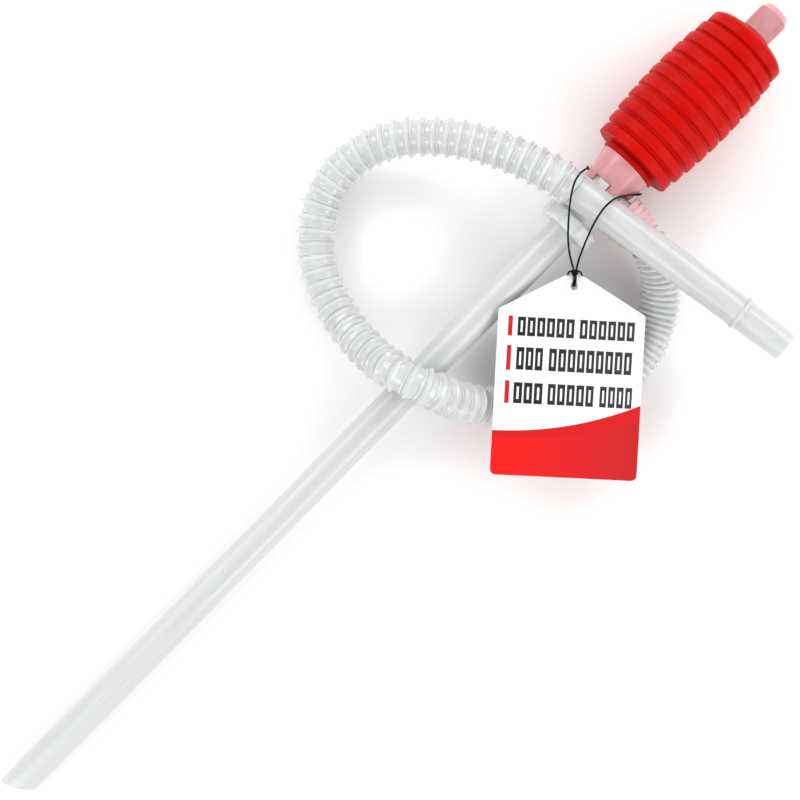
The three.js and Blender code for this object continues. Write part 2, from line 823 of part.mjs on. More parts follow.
// The string leaves the knot, passes over the spout and round the bulb cup, and comes back.
const stringStart = tag.localToWorld(new THREE.Vector3(-0.8, knotTop + fit, knotHeight));
const stringEnd = tag.localToWorld(new THREE.Vector3(0.9, knotTop + fit, knotHeight));
const stringRoute = [
  stringStart.toArray(),
  [143.5, -9.5, 44.5],
  [148.4, -2.3, 52],
  [154.1, 4, 59],
  [161.2, 10.8, 65.5],
  [167.1, 15.4, 69],
  [173, 18.8, 70],
  [178.6, 20.2, 68.6],
  [183.7, 20, 63],
  [187.2, 19.3, 54],
  [189.4, 19.6, 44.5],
  [191, 20.4, 36],
  [191.8, 20, 27],
  [193, 16.6, 18],
  [194.5, 10.5, 13],
  [196.5, 3.6, 11.6],
  [198.5, -3.2, 12.6],
  [200.5, -9.6, 16.4],
  [202.5, -14, 22],
  [203.3, -15.2, 29],
  [199.3, -13, 38],
  [195.2, -10.6, 45.5],
  [191, -8.2, 52.6],
  [186.4, -6.1, 60],
  [181.2, -4.8, 65.4],
  [175.4, -4.6, 67.6],
  [169.7, -5.4, 67.4],
  [164, -7, 64],
  [158.4, -9.3, 58],
  [152.6, -12.1, 50.5],
  [146.3, -15.4, 42.8],
  stringEnd.toArray(),
];
const stringSolid = cordAlong(stringRoute, stringRadius, stringSteps, stringSides);
piece(model, "tag_string", stringSolid, blackString);

export default model;
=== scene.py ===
import json
import math

import bmesh
import bpy
from mathutils import Matrix, Vector


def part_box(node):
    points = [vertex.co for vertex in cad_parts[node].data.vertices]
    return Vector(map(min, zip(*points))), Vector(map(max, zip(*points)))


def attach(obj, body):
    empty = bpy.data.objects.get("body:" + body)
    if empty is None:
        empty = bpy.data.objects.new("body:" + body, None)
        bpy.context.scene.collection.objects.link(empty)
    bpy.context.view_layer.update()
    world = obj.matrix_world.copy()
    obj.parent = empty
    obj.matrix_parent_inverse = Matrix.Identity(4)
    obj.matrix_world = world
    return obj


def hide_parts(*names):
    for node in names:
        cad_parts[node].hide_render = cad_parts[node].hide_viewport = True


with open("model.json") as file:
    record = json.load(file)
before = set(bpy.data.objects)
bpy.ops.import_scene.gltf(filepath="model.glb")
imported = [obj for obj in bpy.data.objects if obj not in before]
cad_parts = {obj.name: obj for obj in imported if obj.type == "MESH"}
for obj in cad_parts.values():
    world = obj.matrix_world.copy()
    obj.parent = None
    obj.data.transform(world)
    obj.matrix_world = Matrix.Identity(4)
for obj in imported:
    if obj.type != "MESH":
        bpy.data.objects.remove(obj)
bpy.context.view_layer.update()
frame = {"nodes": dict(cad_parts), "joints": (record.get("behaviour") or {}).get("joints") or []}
mm = 0.001
scene = bpy.context.scene
print("frame loaded")

# ---- camera ----

camera = {
    "aim": (0.00635, 0.00197),  # the point on the floor under the camera
    "height": 1.128,
    "lens": 79.3,
    "turn": 45.49,  # degrees from the image's right to the pump's +X
}


def placeCamera(settings):
    data = bpy.data.cameras.new("camera")
    data.lens = settings["lens"]
    data.sensor_width = 36
    data.clip_start = 0.02
    data.clip_end = 20
    shot = bpy.data.objects.new("camera", data)
    scene.collection.objects.link(shot)
    shot.location = (*settings["aim"], settings["height"])
    shot.rotation_euler = (0, 0, math.radians(-settings["turn"]))
    scene.camera = shot


placeCamera(camera)

# ---- small helpers ----


def addNode(tree, kind, sockets=None, **settings):
    # sockets are inputs by name or number, each a value or another node's output
    node = tree.nodes.new(kind)
    for key, value in settings.items():
        setattr(node, key, value)
    for key, value in (sockets or {}).items():
        if isinstance(value, bpy.types.NodeSocket):
            tree.links.new(value, node.inputs[key])
        else:
            node.inputs[key].default_value = value
    return node


def linearColour(hexText):
    # sRGB hex to the linear numbers that a shader wants
    channels = [int(hexText[i:i + 2], 16) / 255 for i in (1, 3, 5)]
    linear = [c / 12.92 if c <= 0.04045 else ((c + 0.055) / 1.055) ** 2.4 for c in channels]
    return (*linear, 1)


def newPiece(name, body, data, material, stands=()):
    piece = bpy.data.objects.new(name, data)
    scene.collection.objects.link(piece)
    if material is not None:
        data.materials.clear()
        data.materials.append(material)
    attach(piece, body)
    if stands:
        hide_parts(*stands)
    return piece


def smoothByAngle(mesh, degrees=32):
    mesh.shade_smooth()
    mesh.set_sharp_from_angle(angle=math.radians(degrees))


def roundedCorners(points, radius, steps=3, closed=False):
    # swaps each corner of an outline for a short curve, smaller where an edge is short;
    # the radius is one number, or a list with one for each corner
    count = len(points)
    rounded = []
    for i, here in enumerate(points):
        if not closed and i in (0, count - 1):
            rounded.append(tuple(here))
            continue
        corner = Vector(here)
        before = Vector(points[i - 1]) - corner
        after = Vector(points[(i + 1) % count]) - corner
        if min(before.length, after.length) < 1e-6:
            continue
        asked = radius[i] if isinstance(radius, list) else radius
        reach = min(asked, before.length * 0.45, after.length * 0.45)
        start = corner + before.normalized() * reach
        end = corner + after.normalized() * reach
        for k in range(steps + 1):
            t = k / steps
            rounded.append(tuple(start * (1 - t) ** 2 + corner * 2 * t * (1 - t) + end * t * t))
    return rounded


def turnedMesh(name, profile, sides, place):
    # profile is (radius, height) in mm; one that doesn't start on the axis closes on itself
    mesh = bpy.data.meshes.new(name)
    bm = bmesh.new()
    rings = []
    for radius, height in profile:
        if radius < 1e-4:
            rings.append([bm.verts.new((0, 0, height * mm))] * sides)
            continue
        r, z = radius * mm, height * mm
        angles = [2 * math.pi * k / sides for k in range(sides)]
        rings.append([bm.verts.new((r * math.cos(a), r * math.sin(a), z)) for a in angles])
    onAxis = profile[0][0] < 1e-4
    pairs = list(zip(rings, rings[1:])) + ([] if onAxis else [(rings[-1], rings[0])])
    for low, high in pairs:
        for k in range(sides):
            n = (k + 1) % sides
            corners = []
            for v in (low[k], low[n], high[n], high[k]):
                if v not in corners:
                    corners.append(v)
            if len(corners) > 2:
                bm.faces.new(corners)
    bmesh.ops.recalc_face_normals(bm, faces=bm.faces)
    bm.to_mesh(mesh)
    bm.free()
    mesh.transform(place)
    smoothByAngle(mesh)
    return mesh


def finishedMesh(holder):
    # the plain mesh that an object's modifiers make; the object itself goes
    bpy.context.view_layer.update()
    finished = holder.evaluated_get(bpy.context.evaluated_depsgraph_get())
    mesh = bpy.data.meshes.new_from_object(finished)
    bpy.data.objects.remove(holder)
    return mesh


def carriedShape(node, width=0.25, segments=2):
    # a merged, softly edged copy of a CAD node, for a shape that is right as it is
    mesh = frame["nodes"][node].data.copy()
    bm = bmesh.new()
    bm.from_mesh(mesh)
    bmesh.ops.remove_doubles(bm, verts=bm.verts, dist=0.00002)
    bmesh.ops.dissolve_limit(bm, angle_limit=math.radians(1), verts=bm.verts, edges=bm.edges)
    bm.to_mesh(mesh)
    bm.free()
    holder = bpy.data.objects.new(node + "Copy", mesh)
    scene.collection.objects.link(holder)
    bevel = holder.modifiers.new("softEdge", "BEVEL")
    bevel.width = width * mm
    bevel.segments = segments
    bevel.limit_method = "ANGLE"
    bevel.angle_limit = math.radians(35)
    soft = finishedMesh(holder)
    smoothByAngle(soft, 35)
    return soft


def smoothRoute(points, step):
    # centripetal Catmull-Rom through the points, resampled every step mm
    pts = [Vector(p) for p in points]
    ends = [pts[0] * 2 - pts[1]] + pts + [pts[-1] * 2 - pts[-2]]
    dense = []
    for i in range(1, len(ends) - 2):
        p0, p1, p2, p3 = ends[i - 1:i + 3]
        knots = [max((b - a).length, 1e-6) ** 0.5 for a, b in ((p0, p1), (p1, p2), (p2, p3))]
        d0, d1, d2 = knots
        m1 = ((p1 - p0) / d0 - (p2 - p0) / (d0 + d1) + (p2 - p1) / d1) * d1
        m2 = ((p2 - p1) / d1 - (p3 - p1) / (d1 + d2) + (p3 - p2) / d2) * d1
        for k in range(24):
            t = k / 24
            a, b = 2 * t ** 3 - 3 * t ** 2 + 1, t ** 3 - 2 * t ** 2 + t
            c, d = -2 * t ** 3 + 3 * t ** 2, t ** 3 - t ** 2
            dense.append(p1 * a + m1 * b + p2 * c + m2 * d)
    dense.append(pts[-1])
    lengths = [0]
    for a, b in zip(dense, dense[1:]):
        lengths.append(lengths[-1] + (b - a).length)
    count = max(2, round(lengths[-1] / step))
    route = []
    spot = 0
    for k in range(count + 1):
        goal = lengths[-1] * k / count
        while spot < len(lengths) - 2 and lengths[spot + 1] < goal:
            spot += 1
        span = lengths[spot + 1] - lengths[spot]
        route.append(dense[spot].lerp(dense[spot + 1], (goal - lengths[spot]) / span))
    return route, lengths[-1]


def openCurve(name, route, radius=0.0):
    data = bpy.data.curves.new(name, "CURVE")
    data.dimensions = "3D"
    line = data.splines.new("POLY")
    line.points.add(len(route) - 1)
    for point, place in zip(line.points, route):
        point.co = (*(place * mm), 1)
    data.bevel_depth = radius * mm
    data.bevel_resolution = 4
    data.use_fill_caps = True
    return data


# The pump's own frame: +Z along its axis, from the tip of the suction tube.
tipToTwist = 545  # mm from the tube's tip to the point that the cup turns about
twist = next(j for j in frame["joints"] if j["name"] == "bulb_twist")
pumpAxis = Vector(twist["axis"]).normalized()
pumpTip = Vector(twist["pos_m"]) - pumpAxis * tipToTwist * mm
sideways = Vector((0, 1, 0))
pumpTurn = Matrix((sideways.cross(pumpAxis), sideways, pumpAxis)).transposed()
pumpPlace = Matrix.Translation(pumpTip) @ pumpTurn.to_4x4()


# ---- materials ----

def startMaterial(name):
    material = bpy.data.materials.new(name)
    material.use_nodes = True
    tree = material.node_tree
    tree.nodes.clear()
    shader = addNode(tree, "ShaderNodeBsdfPrincipled")
    output = addNode(tree, "ShaderNodeOutputMaterial")
    tree.links.new(shader.outputs[0], output.inputs[0])
    return material, tree, shader


def mouldedPlastic(name, settings):
    # Two close tints in soft clouds, fine flow marks, and a shallow waviness under the gloss.
    material, tree, shader = startMaterial(name)
    where = addNode(tree, "ShaderNodeTexCoord")
    turned = addNode(tree, "ShaderNodeMapping", {
        "Vector": where.outputs["Object"],
        "Rotation": tuple(math.radians(a) for a in settings.get("flowTurn", (0, 0, 0))),
        "Scale": settings.get("flowStretch", (1, 1, 1)),
    })
    cloud = addNode(tree, "ShaderNodeTexNoise", {
        "Vector": turned.outputs[0], "Scale": 1000 / settings["cloudSize"],
        "Detail": 3, "Roughness": 0.5,
    })
    grain = addNode(tree, "ShaderNodeTexNoise", {
        "Vector": turned.outputs[0], "Scale": 1000 / settings["grainSize"],
        "Detail": 2, "Roughness": 0.6,
    })
    tint = addNode(tree, "ShaderNodeValToRGB", {"Fac": cloud.outputs[0]})
    tint.color_ramp.elements[0].position = 0.32
    tint.color_ramp.elements[0].color = linearColour(settings["darkTint"])
    tint.color_ramp.elements[1].position = 0.68
    tint.color_ramp.elements[1].color = linearColour(settings["lightTint"])
    tree.links.new(tint.outputs[0], shader.inputs["Base Color"])
    gloss = addNode(tree, "ShaderNodeMapRange", {
        "Value": grain.outputs[0], "From Min": 0.3, "From Max": 0.7,
        "To Min": settings["roughness"] - settings["roughSpread"],
        "To Max": settings["roughness"] + settings["roughSpread"],
    })
    tree.links.new(gloss.outputs[0], shader.inputs["Roughness"])
    bump = addNode(tree, "ShaderNodeBump", {
        "Height": cloud.outputs[0], "Strength": settings["bump"],
        "Distance": settings["bumpDepth"] * mm,
    })
    tree.links.new(bump.outputs[0], shader.inputs["Normal"])
    shader.inputs["IOR"].default_value = settings["ior"]
    shader.inputs["Transmission Weight"].default_value = settings.get("clear", 0)
    shader.inputs["Subsurface Weight"].default_value = settings.get("milky", 0)
    shader.inputs["Subsurface Radius"].default_value = settings.get("milkyReach", (1, 1, 1))
    shader.inputs["Subsurface Scale"].default_value = settings.get("milkyScale", 0.002)
    shader.inputs["Specular IOR Level"].default_value = settings.get("shine", 0.5)
    return material


# Natural low-density polyethylene, extruded: waxy and milky, with drawing lines along its length.
extrudedPolyethylene = mouldedPlastic("extrudedPolyethylene", {
    "lightTint": "#E2E4E4", "darkTint": "#D6D8D8", "cloudSize": 7, "grainSize": 3,
    "flowStretch": (0.02, 1, 1), "roughness": 0.3, "roughSpread": 0.03,
    "bump": 0.05, "bumpDepth": 0.02, "ior": 1.51, "shine": 0.8, "clear": 0.16, "milky": 0.3,
    "milkyScale": 0.004,
})
# The same resin drawn along the spout's own line.
spoutPolyethylene = mouldedPlastic("spoutPolyethylene", {
    "lightTint": "#DDDFDF", "darkTint": "#D0D2D2", "cloudSize": 6, "grainSize": 3,
    "flowTurn": (0, 0, -7.7), "flowStretch": (1, 0.02, 1), "roughness": 0.3, "roughSpread": 0.03,
    "bump": 0.05, "bumpDepth": 0.02, "ior": 1.51, "shine": 0.8, "clear": 0.14, "milky": 0.3,
    "milkyScale": 0.004,
})
# Natural polyethylene, injection moulded: a satin, cloudier skin than the drawn tubes.
mouldedPolyethylene = mouldedPlastic("mouldedPolyethylene", {
    "lightTint": "#E6E8E8", "darkTint": "#DDDFDF", "cloudSize": 8, "grainSize": 2,
    "roughness": 0.38, "roughSpread": 0.03, "bump": 0.05, "bumpDepth": 0.02, "ior": 1.51,
    "shine": 0.6, "clear": 0.05, "milky": 0.3, "milkyScale": 0.004,
})
# Corrugated natural polyethylene: thin, bright at the crests and grey in the valleys.
corrugatedPolyethylene = mouldedPlastic("corrugatedPolyethylene", {
    "lightTint": "#E3E5E5", "darkTint": "#D9DBDB", "cloudSize": 12, "grainSize": 3,
    "roughness": 0.17, "roughSpread": 0.02, "bump": 0.04, "bumpDepth": 0.02, "ior": 1.51,
    "shine": 0.9, "clear": 0.14, "milky": 0.3, "milkyScale": 0.003,
})
# Plasticised PVC with a trace of the red tint.
softPinkVinyl = mouldedPlastic("softPinkVinyl", {
    "lightTint": "#F3D3D3", "darkTint": "#EBBABC", "cloudSize": 7, "grainSize": 2,
    "roughness": 0.34, "roughSpread": 0.03, "bump": 0.05, "bumpDepth": 0.02, "ior": 1.53,
    "clear": 0.2, "milky": 0.3, "milkyReach": (1, 0.7, 0.7), "milkyScale": 0.003,
})
# Polypropylene tinted red and left clear, so that thick places read deeper than thin ones.
tintedPolypropylene = mouldedPlastic("tintedPolypropylene", {
    "lightTint": "#F4B4B7", "darkTint": "#EDA1A6", "cloudSize": 9, "grainSize": 2,
    "roughness": 0.24, "roughSpread": 0.03, "bump": 0.04, "bumpDepth": 0.02, "ior": 1.49,
    "clear": 0.16, "milky": 0.3, "milkyReach": (1, 0.6, 0.6), "milkyScale": 0.003,
})
# Red high-density polyethylene, blow moulded: a soft gloss with a faint unevenness from the mould.
blownRedPolyethylene = mouldedPlastic("blownRedPolyethylene", {
    "lightTint": "#C40F05", "darkTint": "#BA0802", "cloudSize": 16, "grainSize": 2.5,
    "roughness": 0.42, "roughSpread": 0.03, "bump": 0.06, "bumpDepth": 0.03, "ior": 1.54,
    "shine": 0.07, "milky": 0.1, "milkyReach": (1, 0.05, 0.02), "milkyScale": 0.002,
})
# White acetal, as valve discs are: dense and satin.
valveAcetal = mouldedPlastic("valveAcetal", {
    "lightTint": "#F4F4F0", "darkTint": "#E8E8E2", "cloudSize": 4, "grainSize": 0.6,
    "roughness": 0.4, "roughSpread": 0.06, "bump": 0.15, "bumpDepth": 0.02, "ior": 1.48,
})
# Natural silicone rubber: pale, so that no dark ring shows through the tinted pieces round it.
siliconeRubber = mouldedPlastic("siliconeRubber", {
    "lightTint": "#E4E1DC", "darkTint": "#D6D2CC", "cloudSize": 3, "grainSize": 0.8,
    "roughness": 0.6, "roughSpread": 0.08, "bump": 0.15, "bumpDepth": 0.02, "ior": 1.41, "milky": 0.2,
})
print("plastics made")

# ---- discharge hose ----

hose = {
    "crest": 12.75,  # radius over the ribs, mm
    "valley": 10.6,
    "wall": 1.3,
    "coarsePitch": 8.4,
    "finePitch": 4.2,
    "fineLength": 168,  # the finely ribbed stretch, from the cuff
    "pastCuff": 0.3,
    "ribWidth": 0.34,  # of a pitch, at the foot of a rib
    "step": 0.7,
    "sides": 40,
}
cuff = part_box("hose_cuff")
hoseExit = Vector((cuff[0].x + cuff[1].x, 0, cuff[0].z + cuff[1].z)) / 2 / mm
hoseExit.y = cuff[0].y / mm - hose["pastCuff"]
spout = {
    "start": Vector((172.5, 15.7, 55)),
    "turn": 7.7,  # degrees from -Y towards +X
    "length": 159.5,
    "radius": 10.2,
    "tipRadius": 9.5,
    "wall": 1.2,
    "ringRadius": 11.4,
    "ringWidth": 2.2,
    "tip": 33,  # from the ring to the end
}
spoutWay = Vector((math.sin(math.radians(spout["turn"])), -math.cos(math.radians(spout["turn"])), 0))
hoseRoute = [
    hoseExit, hoseExit + Vector((0, -6, 0)),
    (180, -54, 24.5), (174.5, -63, 20), (166, -71.5, 16), (155, -79, 13.5), (140, -85.5, 13),
    (121, -88, 13), (99, -83, 13), (76.5, -71, 13), (57, -56, 13.8), (45.5, -44, 17),
    (37, -33, 23.5), (30, -21.5, 33), (25.5, -10.5, 42), (22, -1.5, 46), (19.5, 6, 46.8),
    (17, 15, 45), (15, 25.5, 38), (14.5, 38, 30), (15, 51, 23), (17, 64, 17.5),
    (20.5, 76.5, 14.2), (25.5, 88.5, 13), (32, 100, 13), (40.5, 110, 13), (50.5, 118.5, 13.5),
    (61.5, 125, 14.5), (73, 128.5, 16.5), (85, 129.8, 19), (96.5, 128.5, 22), (107.5, 125, 25),
    (118, 119.3, 28), (127.5, 112, 31), (136, 103.3, 34), (143.8, 93.6, 37), (150.5, 83.2, 40),
    (156.4, 72.2, 43), (161.2, 61, 46), (165.2, 49.5, 49), (168.5, 38, 52),
    spout["start"] - spoutWay * 11, spout["start"] - spoutWay * 0.3,
]


def corrugationTree():
    # Curve in, ribbed tube out: the radius follows two rib patterns measured along the curve.
    tree = bpy.data.node_groups.new("corrugatedTube", "GeometryNodeTree")
    tree.interface.new_socket("Geometry", in_out="INPUT", socket_type="NodeSocketGeometry")
    tree.interface.new_socket("Geometry", in_out="OUTPUT", socket_type="NodeSocketGeometry")
    for label in ("crest", "valley", "coarsePitch", "finePitch", "fineLength", "ribWidth", "step"):
        tree.interface.new_socket(label, in_out="INPUT", socket_type="NodeSocketFloat")
    tree.interface.new_socket("sides", in_out="INPUT", socket_type="NodeSocketInt")
    tree.interface.new_socket("material", in_out="INPUT", socket_type="NodeSocketMaterial")
    given = addNode(tree, "NodeGroupInput").outputs

    def maths(operation, a, b=0.0, c=0.0):
        return addNode(tree, "ShaderNodeMath", {0: a, 1: b, 2: c}, operation=operation).outputs[0]

    def ribs(pitch, along, width):
        # 1 at a rib's crest, 0 between ribs
        spot = maths("FRACT", maths("DIVIDE", along, pitch))
        off = maths("ABSOLUTE", maths("SUBTRACT", spot, 0.5))
        slope = addNode(tree, "ShaderNodeMapRange", {
            "Value": off,
            "From Min": maths("MULTIPLY", width, 0.12), "From Max": maths("MULTIPLY", width, 0.5),
            "To Min": 1.0, "To Max": 0.0,
        })
        return slope.outputs[0]

    finer = addNode(tree, "GeometryNodeResampleCurve", {
        "Curve": given["Geometry"], "Length": given["step"],
    }, mode="LENGTH")
    along = addNode(tree, "GeometryNodeSplineParameter").outputs["Length"]
    isFine = maths("LESS_THAN", along, given["fineLength"])
    fineRib = ribs(given["finePitch"], along, 0.92)
    pastFine = maths("SUBTRACT", along, given["fineLength"])
    coarseRib = ribs(given["coarsePitch"], pastFine, given["ribWidth"])
    height = maths("SUBTRACT", given["crest"], given["valley"])
    fineRadius = maths("MULTIPLY_ADD", fineRib, height, given["valley"])
    coarseRadius = maths("MULTIPLY_ADD", coarseRib, height, given["valley"])
    radius = addNode(tree, "GeometryNodeSwitch", {
        "Switch": maths("GREATER_THAN", isFine, 0.5), "False": coarseRadius, "True": fineRadius,
    }, input_type="FLOAT")
    section = addNode(tree, "GeometryNodeCurvePrimitiveCircle", {
        "Resolution": given["sides"], "Radius": 1.0,
    })
    tube = addNode(tree, "GeometryNodeCurveToMesh", {
        "Curve": finer.outputs[0], "Profile Curve": section.outputs[0],
        "Scale": radius.outputs[0], "Fill Caps": True,
    })
    smooth = addNode(tree, "GeometryNodeSetShadeSmooth", {"Geometry": tube.outputs[0]})
    real = addNode(tree, "GeometryNodeRealizeInstances", {"Geometry": smooth.outputs[0]})
    painted = addNode(tree, "GeometryNodeSetMaterial", {
        "Geometry": real.outputs[0], "Material": given["material"],
    })
    finish = addNode(tree, "NodeGroupOutput")
    tree.links.new(painted.outputs[0], finish.inputs[0])
    return tree


def applyTree(data, tree, values, name):
    # runs a node tree over a curve or mesh and returns the plain mesh that it makes
    holder = bpy.data.objects.new(name + "Source", data)
    scene.collection.objects.link(holder)
    modifier = holder.modifiers.new(name, "NODES")
    modifier.node_group = tree
    for item in tree.interface.items_tree:
        if item.in_out == "INPUT" and item.name in values:
            modifier[item.identifier] = values[item.name]
    made = finishedMesh(holder)
    made.name = name
    return made


def makeHose(settings):
    route, length = smoothRoute(hoseRoute, 3)
    tree = corrugationTree()
    lengths = ("crest", "valley", "coarsePitch", "finePitch", "fineLength", "step")
    values = {key: settings[key] * mm for key in lengths}
    values["ribWidth"] = settings["ribWidth"]
    values["sides"] = settings["sides"]
    values["material"] = corrugatedPolyethylene
    outside = applyTree(openCurve("hoseLine", route), tree, values, "hoseOutside")
    for key in ("crest", "valley"):
        values[key] = (settings[key] - settings["wall"]) * mm
    values["sides"] = settings["sides"] // 2
    inside = applyTree(openCurve("hoseBoreLine", route[1:-1]), tree, values, "hoseInside")
    bm = bmesh.new()
    bm.from_mesh(inside)
    bmesh.ops.reverse_faces(bm, faces=bm.faces)
    bm.from_mesh(outside)
    bm.to_mesh(outside)
    bm.free()
    smoothByAngle(outside, 55)
    piece = newPiece(
        "corrugated_hose", "pump", outside, corrugatedPolyethylene, ["discharge_hose"],
    )
    return piece, route, length


hosePiece, hoseLine, hoseLength = makeHose(hose)
print("hose", round(hoseLength), "mm")


def makeSpout(settings):
    r, t, w = settings["radius"], settings["tipRadius"], settings["wall"]
    end, ring = settings["length"], settings["length"] - settings["tip"]
    foot = ring - settings["ringWidth"]
    outline = roundedCorners([
        (r - w, 0.3), (r, 0.3), (r, foot - 0.4), (settings["ringRadius"], foot + 0.3),
        (settings["ringRadius"], ring - 0.3), (r * 0.985, ring + 0.3), (t + 0.35, ring + 1.2),
        (t + 0.25, end - 12), (t, end - 11), (t, end), (t - w, end), (t - w, ring), (r - w, foot),
    ], 0.4, closed=True)
    place = Matrix.Translation(settings["start"] * mm)
    place = place @ Matrix.Rotation(math.radians(settings["turn"]), 4, "Z")
    place = place @ Matrix.Rotation(math.radians(90), 4, "X")
    mesh = turnedMesh("straight_spout", outline, 72, place)
    return newPiece(
        "straight_spout", "pump", mesh, spoutPolyethylene, ["discharge_spout"],
    )


spoutPiece = makeSpout(spout)

# ---- tag, eyelet, knot and string ----

tag = {
    "place": Vector((132.1, -25.5, 35.2)),
    "tilt": (2.3, 3.7, -48.4),  # degrees, about its own X, then Y, then Z
    "width": 92,
    "height": 125.5,
    "shoulder": 103,
    "peak": 12,
    "corner": 4,
    "topCorner": 1.5,
    "thickness": 0.6,
    "hole": 3.2,
    "holeInset": 6.5,
    "curl": 0.8,  # how far its long sides lift, mm
    "letterPitch": 5.7,  # of the plain boxes that stand in for print
    "letterGap": 1.1,
    "slot": (0.3, 0.52),  # the open middle of a box, as a share of the pitch
    "letterRim": 0.2,  # how much of a box's height is above or below its open middle
    "barSides": (6.4, 9.2),
    "footLeft": 27.6,  # the red foot's height at the card's left edge
    "footRise": 19.6,  # how much higher it is at the right
    "footBend": 2.1,
}
tilt = [math.radians(a) for a in tag["tilt"]]
tagPlace = (
    Matrix.Translation(tag["place"] * mm)
    @ Matrix.Rotation(tilt[2], 4, "Z")
    @ Matrix.Rotation(tilt[1], 4, "Y")
    @ Matrix.Rotation(tilt[0], 4, "X")
)
string = {"radius": 0.6, "knotRadius": 1.2, "knotLength": 0.8}
knotFoot = tag["holeInset"] + 0.5
knotTop = knotFoot + string["knotLength"] + 2 * string["knotRadius"]
knotHeight = tag["thickness"] / 2


def tagPoint(x, y, z):
    return tagPlace @ (Vector((x, y, z)) * mm) / mm


stringRoute = [
    tagPoint(-0.8, knotTop + 0.3, knotHeight),
    (143.5, -9.5, 44.5), (148.4, -2.3, 52), (154.1, 4, 59), (161.2, 10.8, 65.5), (167.1, 15.4, 69),
    (173, 18.8, 70), (178.6, 20.2, 68.6), (183.7, 20, 63), (187.2, 19.3, 54), (189.4, 19.6, 44.5),
    (191, 20.4, 36), (191.8, 20, 27), (193, 16.6, 18), (194.5, 10.5, 13), (196.5, 3.6, 11.6),
    (198.5, -3.2, 12.6), (200.5, -9.6, 16.4), (202.5, -14, 22), (203.3, -15.2, 29), (199.3, -13, 38),
    (195.2, -10.6, 45.5), (191, -8.2, 52.6), (186.4, -6.1, 60), (181.2, -4.8, 65.4),
    (175.4, -4.6, 67.6), (169.7, -5.4, 67.4), (164, -7, 64), (158.4, -9.3, 58), (152.6, -12.1, 50.5),
    (146.3, -15.4, 42.8),
    tagPoint(0.9, knotTop + 0.3, knotHeight),
]


def braidedCord():
    # Black polyester cord, twisted: a slanted thread relief and a dull sheen.
    material, tree, shader = startMaterial("braidedPolyesterCord")
    where = addNode(tree, "ShaderNodeTexCoord")
    thread = addNode(tree, "ShaderNodeTexWave", {
        "Vector": where.outputs["Object"], "Scale": 520, "Distortion": 1.5, "Detail": 1,
    }, bands_direction="DIAGONAL")
    tint = addNode(tree, "ShaderNodeValToRGB", {"Fac": thread.outputs["Fac"]})
    tint.color_ramp.elements[0].color = linearColour("#050505")
    tint.color_ramp.elements[1].color = linearColour("#1A1A1A")
    tree.links.new(tint.outputs[0], shader.inputs["Base Color"])
    bump = addNode(tree, "ShaderNodeBump", {
        "Height": thread.outputs["Fac"], "Strength": 0.5, "Distance": 0.15 * mm,
    })
    tree.links.new(bump.outputs[0], shader.inputs["Normal"])
    shader.inputs["Roughness"].default_value = 0.8
    shader.inputs["Specular IOR Level"].default_value = 0.15
    return material


